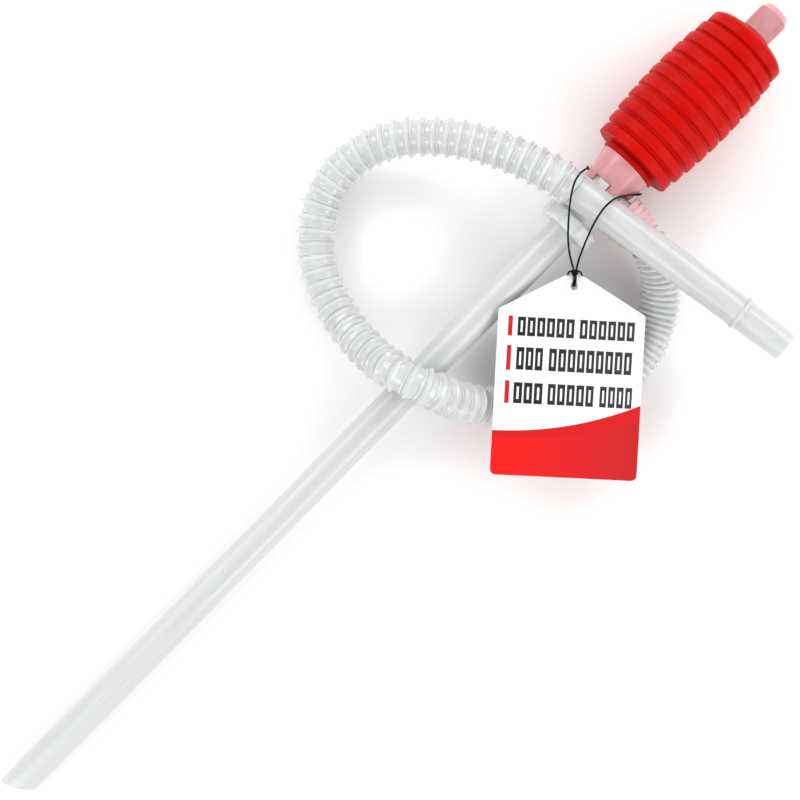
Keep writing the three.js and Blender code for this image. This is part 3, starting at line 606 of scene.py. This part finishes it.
def coatedCard(settings):
    # Coated white card, offset printed: a red foot with a curved top edge, and rows of plain boxes.
    material, tree, shader = startMaterial("coatedCard")
    uv = addNode(tree, "ShaderNodeUVMap", uv_map="card")
    apart = addNode(tree, "ShaderNodeSeparateXYZ", {0: uv.outputs[0]})
    across, up = apart.outputs[0], apart.outputs[1]  # mm from the card's left edge and its foot

    def maths(operation, a, b=0.0, c=0.0):
        return addNode(tree, "ShaderNodeMath", {0: a, 1: b, 2: c}, operation=operation).outputs[0]

    def inside(value, low, high):
        return maths("MULTIPLY", maths("GREATER_THAN", value, low), maths("LESS_THAN", value, high))

    def box(left, right, low, high):
        return maths("MULTIPLY", inside(across, left, right), inside(up, low, high))

    def word(left, right, low, high):
        # a row of upright boxes with open middles
        letters = round((right - left) / settings["letterPitch"])
        pitch = (right - left + settings["letterGap"]) / letters
        spot = maths("FRACT", maths("DIVIDE", maths("SUBTRACT", across, left), pitch))
        solid = maths("LESS_THAN", spot, 1 - settings["letterGap"] / pitch)
        rim = (high - low) * settings["letterRim"]
        middle = maths("MULTIPLY", inside(spot, *settings["slot"]), inside(up, low + rim, high - rim))
        return maths("MULTIPLY", box(left, right, low, high), maths("SUBTRACT", solid, middle))

    def both(boxes):
        whole = boxes[0]
        for more in boxes[1:]:
            whole = maths("MAXIMUM", whole, more)
        return whole

    share = maths("DIVIDE", across, settings["width"])
    bend = maths("POWER", share, settings["footBend"])
    edge = maths("MULTIPLY_ADD", bend, settings["footRise"], settings["footLeft"])
    foot = maths("LESS_THAN", up, edge)
    swoosh = maths("LESS_THAN", up, maths("SUBTRACT", edge, maths("MULTIPLY_ADD", share, 5.0, 4.0)))
    redBars = both([box(*settings["barSides"], low, high) for low, high in settings["bars"]])
    words = both([word(*spot) for spot in settings["words"]])
    paper = addNode(tree, "ShaderNodeTexNoise", {"Vector": uv.outputs[0], "Scale": 3.5, "Detail": 3})
    white = addNode(tree, "ShaderNodeValToRGB", {"Fac": paper.outputs[0]})
    white.color_ramp.elements[0].color = linearColour("#E9E9E9")
    white.color_ramp.elements[1].color = linearColour("#F0F0F0")
    red = addNode(tree, "ShaderNodeValToRGB", {"Fac": share})
    red.color_ramp.elements[0].color = linearColour("#E80604")
    red.color_ramp.elements[1].color = linearColour("#BC161B")
    deep = addNode(tree, "ShaderNodeMix", {
        0: swoosh, 6: linearColour("#CC0D10"), 7: red.outputs[0],
    }, data_type="RGBA")
    ink = addNode(tree, "ShaderNodeValToRGB", {"Fac": share})
    ink.color_ramp.elements[0].color = linearColour("#141414")
    ink.color_ramp.elements[1].color = linearColour("#383838")
    printed = addNode(tree, "ShaderNodeMix", {
        0: foot, 6: white.outputs[0], 7: deep.outputs[2],
    }, data_type="RGBA")
    barred = addNode(tree, "ShaderNodeMix", {
        0: redBars, 6: printed.outputs[2], 7: linearColour("#C9141A"),
    }, data_type="RGBA")
    worded = addNode(tree, "ShaderNodeMix", {
        0: words, 6: barred.outputs[2], 7: ink.outputs[0],
    }, data_type="RGBA")
    tree.links.new(worded.outputs[2], shader.inputs["Base Color"])
    gloss = addNode(tree, "ShaderNodeMapRange", {
        "Value": paper.outputs[0], "To Min": 0.45, "To Max": 0.55,
    })
    tree.links.new(gloss.outputs[0], shader.inputs["Roughness"])
    bump = addNode(tree, "ShaderNodeBump", {
        "Height": paper.outputs[0], "Strength": 0.08, "Distance": 0.05 * mm,
    })
    tree.links.new(bump.outputs[0], shader.inputs["Normal"])
    shader.inputs["Specular IOR Level"].default_value = 0.3
    return material


# In mm from the card's left edge and foot: a bar is (low, high), a word (left, right, low, high).
tag["bars"] = [(86.6, 99), (65.2, 80.8), (44.7, 58.8)]
tag["words"] = [
    (12.4, 47.8, 86.8, 98.6), (51.3, 85.6, 86.8, 98.6),
    (12.6, 29.1, 65.8, 79.8), (33, 84.9, 65.8, 79.8),
    (12, 30.1, 44.9, 57.9), (33.4, 62.1, 44.9, 57.9), (66, 86.2, 44.9, 57.9),
]
cardMaterial = coatedCard(tag)
cordMaterial = braidedCord()


def makeTag(settings):
    side, top = settings["width"] / 2, settings["holeInset"]
    foot = top - settings["height"]
    shoulder = foot + settings["shoulder"]
    peak = settings["peak"] / 2
    outline = roundedCorners([
        (-side, foot), (side, foot), (side, shoulder), (peak, top), (-peak, top), (-side, shoulder),
    ], [settings["corner"]] * 2 + [settings["topCorner"]] * 4, steps=6, closed=True)
    bm = bmesh.new()
    uv = bm.loops.layers.uv.new("card")
    rim = [bm.verts.new((x, y, 0)) for x, y in outline]
    ring = [
        bm.verts.new((settings["hole"] * math.cos(a), settings["hole"] * math.sin(a), 0))
        for a in (2 * math.pi * k / 32 for k in range(32))
    ]
    edges = [bm.edges.new((loop[i - 1], loop[i])) for loop in (rim, ring) for i in range(len(loop))]
    bmesh.ops.triangle_fill(bm, edges=edges, use_beauty=True)
    longEdges = [e for e in bm.edges if e.calc_length() > 12]
    bmesh.ops.subdivide_edges(bm, edges=longEdges, cuts=3, use_grid_fill=True)
    bmesh.ops.triangulate(bm, faces=bm.faces)
    for face in bm.faces:
        if face.normal.z < 0:
            face.normal_flip()
        for loop in face.loops:
            loop[uv].uv = (loop.vert.co.x + side, loop.vert.co.y - foot)
    for vert in bm.verts:
        lean = (vert.co.x / side) ** 2 * (1 - (vert.co.y - foot) / settings["height"])
        vert.co.z = settings["thickness"] + settings["curl"] * lean
    mesh = bpy.data.meshes.new("printed_tag")
    bm.to_mesh(mesh)
    bm.free()
    mesh.transform(tagPlace @ Matrix.Scale(mm, 4))
    holder = bpy.data.objects.new("tagCopy", mesh)
    scene.collection.objects.link(holder)
    wall = holder.modifiers.new("cardWall", "SOLIDIFY")
    wall.thickness = settings["thickness"] * mm
    wall.offset = -1
    thick = finishedMesh(holder)
    smoothByAngle(thick)
    return newPiece("printed_tag", "pump", thick, cardMaterial, ["hang_tag"])


makeTag(tag)


def makeEyelet(settings):
    bore, barrel, rim = settings["hole"] - 0.8, settings["hole"] - 0.3, settings["hole"] + 1.8
    low, high = -0.3, settings["thickness"] + 0.3
    outline = roundedCorners([
        (bore, low - 0.5), (rim, low - 0.5), (rim, low), (barrel, low), (barrel, high),
        (rim, high), (rim, high + 0.5), (bore, high + 0.5),
    ], 0.22, closed=True)
    mesh = turnedMesh("tag_ring", outline, 48, tagPlace)
    return newPiece("tag_ring", "pump", mesh, valveAcetal, ["tag_eyelet"])


eyeletPiece = makeEyelet(tag)


def strandMesh(points, radius, sides=10):
    # a capped strand through the points, in mm
    line, _ = smoothRoute(points, 0.5)
    data = openCurve("strand", line, radius)
    data.bevel_resolution = max(1, sides // 4)
    holder = bpy.data.objects.new("strandCopy", data)
    scene.collection.objects.link(holder)
    return finishedMesh(holder)


def makeKnot(settings):
    # two strands side by side through the eyelet, three wraps round them, and two short cut ends
    r = settings["radius"]
    over, under = tag["thickness"] + 1.7, -1.7
    strands = []
    for side in (-0.62, 0.62):
        strands.append([
            (side, knotTop, knotHeight), (side, knotFoot + 1, knotHeight + 0.7),
            (side, knotFoot - 1.2, over - 0.1), (side * 0.9, 3.4, over + 0.1), (side * 0.8, 1.0, over - 0.5),
            (side * 0.7, 0.2, knotHeight), (side * 0.7, 1.0, under + 0.6),
            (side * 0.9, 3.4, under - 0.1), (side, knotFoot - 1.2, under + 0.1),
            (side, knotFoot + 1, -0.9), (side, knotTop - 0.4, knotHeight - 0.9),
        ])
    wrap = []
    for k in range(37):
        a = 2 * math.pi * k / 12
        up = knotFoot + 0.9 + 2.1 * k / 36
        wrap.append((1.75 * math.cos(a), up, knotHeight + 1.25 * math.sin(a)))
    strands.append(wrap)
    for side in (-1, 1):
        strands.append([
            (side * 0.4, knotTop - 0.9, knotHeight + 1.9), (side * 2.2, knotTop - 0.7, knotHeight + 1.8),
            (side * 3.8, knotTop - 1.6, knotHeight + 1.3), (side * 4.5, knotTop - 3.4, knotHeight + 1.5),
        ])
    bm = bmesh.new()
    for points in strands:
        bm.from_mesh(strandMesh([tagPoint(*p) for p in points], r * 0.9))
    mesh = bpy.data.meshes.new("string_knot")
    bm.to_mesh(mesh)
    bm.free()
    smoothByAngle(mesh, 60)
    return newPiece("string_knot", "pump", mesh, cordMaterial, ["tag_knot"])


knotPiece = makeKnot(string)
stringLine, stringLength = smoothRoute(stringRoute, 1.2)
stringPiece = newPiece(
    "black_string", "pump", openCurve("black_string", stringLine, string["radius"]),
    cordMaterial, ["tag_string"],
)
print("tag and string", round(stringLength), "mm")

# ---- suction tube and valve body ----

suction = {
    "radius": 10,
    "wall": 1.2,
    "length": 518,
    "mitre": 11.6,  # how much longer one side is than the other, at the slanted tip
    "straightFrom": 20,
}


def makeSuctionTube(settings):
    r, w, top = settings["radius"], settings["wall"], settings["length"]
    low = settings["straightFrom"]
    heights = [low + (top - low) * k / 24 for k in range(25)]
    outline = [(r - w, 0), (r - w / 2, -0.25), (r, 0)] + [(r, h) for h in heights]
    outline += [(r - w, h) for h in reversed(heights)]
    mesh = turnedMesh("rigid_suction_tube", outline, 80, Matrix.Identity(4))
    for vert in mesh.vertices:
        if vert.co.z < 5 * mm:
            vert.co.z += settings["mitre"] * (r * mm - vert.co.y) / (2 * r)
    mesh.transform(pumpPlace)
    smoothByAngle(mesh)
    return newPiece(
        "rigid_suction_tube", "pump", mesh, extrudedPolyethylene, ["suction_tube"],
    )


makeSuctionTube(suction)
newPiece(
    "clamp_collar", "collar", carriedShape("tube_collar", 0.5, 3),
    mouldedPolyethylene, ["tube_collar"],
)
newPiece(
    "t_body", "pump", carriedShape("valve_body", 0.2),
    mouldedPolyethylene, ["valve_body"],
)

cuffShape = {
    "radius": 15.4,
    "mouth": 12.9,
    "bore": 10.3,
    "mouthBore": 8,
    "seat": 30.3,  # the port's mouth, from the pump's axis
    "rings": 5,
    "ringDepth": 0.9,
}


def makeCuff(settings):
    # a soft sleeve with moulded rings, turned about the outlet port
    near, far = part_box("hose_cuff")
    start, end = (pumpTip.y - far.y) / mm, (pumpTip.y - near.y) / mm
    rings = settings["rings"]
    pitch = (end - start) / rings
    outline = [(settings["bore"], start)]
    for k in range(rings):
        low = start + pitch * k
        share = (k / (rings - 1)) ** 2
        crest = settings["radius"] + (settings["mouth"] - settings["radius"]) * share
        valley = max(crest - settings["ringDepth"], settings["bore"] + 1)
        outline += [(crest - 0.4, low), (crest, low + pitch * 0.15), (crest - 0.1, low + pitch * 0.6)]
        outline += [(valley, low + pitch * 0.72), (valley, low + pitch * 0.97)]
    outline += [(settings["mouth"] - 1, end), (settings["mouthBore"], end)]
    outline += [(settings["mouthBore"], settings["seat"]), (settings["bore"], settings["seat"])]
    place = Matrix.Translation(((near.x + far.x) / 2, pumpTip.y, (near.z + far.z) / 2))
    place = place @ Matrix.Rotation(math.radians(90), 4, "X")
    mesh = turnedMesh("port_cuff", roundedCorners(outline, 0.5, closed=True), 72, place)
    return newPiece("port_cuff", "pump", mesh, softPinkVinyl, ["hose_cuff"])


makeCuff(cuffShape)
newPiece(
    "bulb_holder", "bulb", carriedShape("bulb_cup", 0.2),
    tintedPolypropylene, ["bulb_cup"],
)
print("tube and body")

# ---- bulb ----

bulb = {
    "radius": 31.6,  # over the middle rib
    "taper": 3.9,
    "ribs": 11,
    "pitch": 9.5,
    "firstRib": 559.9,  # its middle, from the tube's tip
    "land": 6.4,
    "slope": 0.65,
    "depth": 1.9,
    "crown": 0.12,  # how much higher a rib is in its middle
    "wall": 1.6,
    "neck": 15.4,  # radii of the neck, the collar and the waist above it
    "collar": 19.5,
    "waist": 17.8,
    "vent": 7.9,  # radius of the hole that the nozzle stands in
    "collarFoot": 552,
    "crownHeight": 6.2,
    "crownRadius": 13,
}


def crestRadius(rib):
    middle = (bulb["ribs"] - 1) / 2
    return bulb["radius"] - bulb["taper"] * ((rib - middle) / middle) ** 2


def makeBulb(settings):
    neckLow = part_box("squeeze_bulb")[0]
    foot = (pumpPlace.inverted() @ Vector((neckLow.x, 0, pumpTip.z))).z / mm
    collarFoot = settings["collarFoot"]
    half, slope, depth = settings["land"] / 2, settings["slope"], settings["depth"]
    neck, collar, waist, vent = (settings[key] for key in ("neck", "collar", "waist", "vent"))
    outer = [
        (neck, foot + 1), (neck + 1.2, collarFoot), (collar - 0.5, collarFoot),
        (collar, collarFoot + 0.8), (collar, collarFoot + 3.3),
        (waist, collarFoot + 4), (waist, collarFoot + 5.1),
    ]
    for rib in range(settings["ribs"]):
        crest = crestRadius(rib)
        at = settings["firstRib"] + rib * settings["pitch"]
        if rib > 0:
            outer.append((crest - depth, at - half - slope))
        edge = crest - settings["crown"]
        outer += [(edge, at - half), (crest, at), (edge, at + half)]
        if rib < settings["ribs"] - 1:
            outer.append((crest - depth, at + half + slope))
    last = crestRadius(settings["ribs"] - 1)
    crown = at + half
    top = crown + settings["crownHeight"]
    outer += [(last - 3.2, crown + 2.4), (settings["crownRadius"], top), (vent, top)]
    inner = [(vent, top - settings["wall"]), (last - 5, crown + 1)]
    for rib in reversed(range(settings["ribs"])):
        at = settings["firstRib"] + rib * settings["pitch"]
        inner.append((crestRadius(rib) - depth - settings["wall"], at))
    inner += [(waist - 1.6, collarFoot + 5.1), (neck - 0.4, collarFoot), (neck - 1.6, foot + 1)]
    outline = roundedCorners(outer, 0.5, steps=3) + inner
    mesh = turnedMesh("ribbed_bulb", outline, 128, pumpPlace)
    return newPiece("ribbed_bulb", "bulb", mesh, blownRedPolyethylene, ["squeeze_bulb"])


makeBulb(bulb)

# ---- vent cap ----

cap = {
    "radius": 10.2,
    "ribs": 64,
    "ribDepth": 0.35,
    "ribWidth": 0.55,
    "height": 19.8,
    "chamfer": 2,
    "chamferHeight": 3.6,
    "bore": 8.5,
    "roof": 1.2,
    "highest": 685,  # of its top, from the tube's tip
}


def gripRibTree():
    # one rounded rib, repeated round a circle and turned to face outwards
    tree = bpy.data.node_groups.new("gripRibs", "GeometryNodeTree")
    tree.interface.new_socket("Geometry", in_out="INPUT", socket_type="NodeSocketGeometry")
    tree.interface.new_socket("Geometry", in_out="OUTPUT", socket_type="NodeSocketGeometry")
    tree.interface.new_socket("count", in_out="INPUT", socket_type="NodeSocketInt")
    for label in ("radius", "width", "depth", "low", "high"):
        tree.interface.new_socket(label, in_out="INPUT", socket_type="NodeSocketFloat")
    tree.interface.new_socket("material", in_out="INPUT", socket_type="NodeSocketMaterial")
    given = addNode(tree, "NodeGroupInput").outputs

    def maths(operation, a, b=0.0):
        return addNode(tree, "ShaderNodeMath", {0: a, 1: b}, operation=operation).outputs[0]

    length = maths("SUBTRACT", given["high"], given["low"])
    rib = addNode(tree, "GeometryNodeMeshCylinder", {"Vertices": 8, "Radius": 1.0, "Depth": length})
    halfWidth = maths("MULTIPLY", given["width"], 0.5)
    shape = addNode(tree, "ShaderNodeCombineXYZ", {0: given["depth"], 1: halfWidth, 2: 1.0})
    slim = addNode(tree, "GeometryNodeTransform", {
        "Geometry": rib.outputs[0], "Scale": shape.outputs[0],
    })
    ringOfPoints = addNode(tree, "GeometryNodeMeshCircle", {
        "Vertices": given["count"], "Radius": given["radius"],
    })
    index = addNode(tree, "GeometryNodeInputIndex").outputs[0]
    angle = maths("DIVIDE", maths("MULTIPLY", index, 2 * math.pi), given["count"])
    turn = addNode(tree, "ShaderNodeCombineXYZ", {0: 0.0, 1: 0.0, 2: angle})
    copies = addNode(tree, "GeometryNodeInstanceOnPoints", {
        "Points": ringOfPoints.outputs[0], "Instance": slim.outputs[0], "Rotation": turn.outputs[0],
    })
    middle = maths("MULTIPLY", maths("ADD", given["low"], given["high"]), 0.5)
    lift = addNode(tree, "ShaderNodeCombineXYZ", {0: 0.0, 1: 0.0, 2: middle})
    placed = addNode(tree, "GeometryNodeTransform", {
        "Geometry": copies.outputs[0], "Translation": lift.outputs[0],
    })
    real = addNode(tree, "GeometryNodeRealizeInstances", {"Geometry": placed.outputs[0]})
    both = addNode(tree, "GeometryNodeJoinGeometry", {0: real.outputs[0]})
    tree.links.new(given["Geometry"], both.inputs[0])
    painted = addNode(tree, "GeometryNodeSetMaterial", {
        "Geometry": both.outputs[0], "Material": given["material"],
    })
    finish = addNode(tree, "NodeGroupOutput")
    tree.links.new(painted.outputs[0], finish.inputs[0])
    return tree


def makeCap(settings):
    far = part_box("vent_cap")[1]
    top = (pumpPlace.inverted() @ Vector((far.x, pumpTip.y, far.z))).z / mm
    top = min(top, settings["highest"])
    foot = top - settings["height"]
    r = settings["radius"] - settings["ribDepth"]
    outline = roundedCorners([
        (0, top), (settings["radius"] - settings["chamfer"], top),
        (r, top - settings["chamferHeight"]), (r, foot), (settings["bore"], foot),
        (settings["bore"], top - settings["roof"] - 1), (0, top - settings["roof"] - 1),
    ], 0.4)
    shell = turnedMesh("ribbed_cap", outline[::-1], 96, Matrix.Identity(4))
    values = {
        "count": settings["ribs"], "radius": r * mm, "width": settings["ribWidth"] * mm,
        "depth": settings["ribDepth"] * mm, "low": (foot + 0.4) * mm,
        "high": (top - settings["chamferHeight"] - 0.3) * mm, "material": tintedPolypropylene,
    }
    mesh = applyTree(shell, gripRibTree(), values, "ribbed_cap")
    mesh.transform(pumpPlace)
    smoothByAngle(mesh, 40)
    return newPiece("ribbed_cap", "cap", mesh, tintedPolypropylene, ["vent_cap"])


makeCap(cap)
print("bulb and cap")

# ---- pieces inside, kept as they are ----

insideMaterials = {
    "inlet_valve_seat": valveAcetal, "inlet_valve_disc": valveAcetal, "inlet_valve_guide": valveAcetal,
    "outlet_valve_seat": valveAcetal, "outlet_valve_disc": valveAcetal, "outlet_valve_guide": valveAcetal,
    "tube_seal": siliconeRubber, "neck_seal": siliconeRubber, "vent_seal": siliconeRubber,
    "vent_nozzle": blownRedPolyethylene,
}
for node, material in insideMaterials.items():
    frame["nodes"][node].data.materials.clear()
    frame["nodes"][node].data.materials.append(material)

# ---- floor and light ----

studio = {
    "floor": ("#F9F9F9", "#FBFBFB"),
    "floorHeight": -0.0003,  # a little under the object, so that nothing flickers where it lies
    "floorRadius": 40,
    "skyStrength": 0.72,
    "skyColour": "#FFFFFF",
    "overhead": "#9A9A9A",  # straight up
    "strips": [
        # place, size, watts
        ((0.2, 0.85, 0.66), (1.3, 0.36), 4.7),
        ((0.2, -0.85, 0.66), (1.3, 0.36), 4.7),
        ((-0.85, 0, 0.75), (1.0, 0.36), 3.8),
        ((1.0, 0, 0.7), (1.0, 0.36), 3.8),
    ],
}


def paleFloor(settings):
    # a matt painted board, almost white
    material, tree, shader = startMaterial("paintedBoard")
    where = addNode(tree, "ShaderNodeTexCoord")
    speck = addNode(tree, "ShaderNodeTexNoise", {
        "Vector": where.outputs["Object"], "Scale": 6, "Detail": 2,
    })
    tint = addNode(tree, "ShaderNodeValToRGB", {"Fac": speck.outputs[0]})
    for stop, colour in zip(tint.color_ramp.elements, settings["floor"]):
        stop.color = linearColour(colour)
    tree.links.new(tint.outputs[0], shader.inputs["Base Color"])
    shader.inputs["Roughness"].default_value = 0.9
    r = settings["floorRadius"]
    angles = [2 * math.pi * k / 64 for k in range(64)]
    points = [(r * math.cos(a), r * math.sin(a), settings["floorHeight"]) for a in angles]
    mesh = bpy.data.meshes.new("floor")
    mesh.from_pydata(points, [], [tuple(range(64))])
    mesh.materials.append(material)
    floor = bpy.data.objects.new("floor", mesh)
    scene.collection.objects.link(floor)


def softLight(settings):
    world = bpy.data.worlds.new("studio")
    world.use_nodes = True
    sky = world.node_tree.nodes["Background"]
    sky.inputs[1].default_value = settings["skyStrength"]
    way = addNode(world.node_tree, "ShaderNodeTexCoord")
    upward = addNode(world.node_tree, "ShaderNodeSeparateXYZ", {0: way.outputs["Generated"]})
    shade = addNode(world.node_tree, "ShaderNodeValToRGB", {"Fac": upward.outputs[2]})
    shade.color_ramp.elements[0].position = 0.86
    shade.color_ramp.elements[0].color = linearColour(settings["skyColour"])
    shade.color_ramp.elements[1].position = 0.97
    shade.color_ramp.elements[1].color = linearColour(settings["overhead"])
    world.node_tree.links.new(shade.outputs[0], sky.inputs[0])
    scene.world = world
    for place, size, watts in settings["strips"]:
        data = bpy.data.lights.new("strip", "AREA")
        data.shape = "RECTANGLE"
        data.size, data.size_y = size
        data.energy = watts
        lamp = bpy.data.objects.new("strip", data)
        scene.collection.objects.link(lamp)
        lamp.location = place
        lamp.rotation_euler = (Vector((0.1, 0, 0)) - Vector(place)).to_track_quat("-Z", "Y").to_euler()


paleFloor(studio)
softLight(studio)
scene.view_settings.view_transform = "Standard"
print("studio ready")
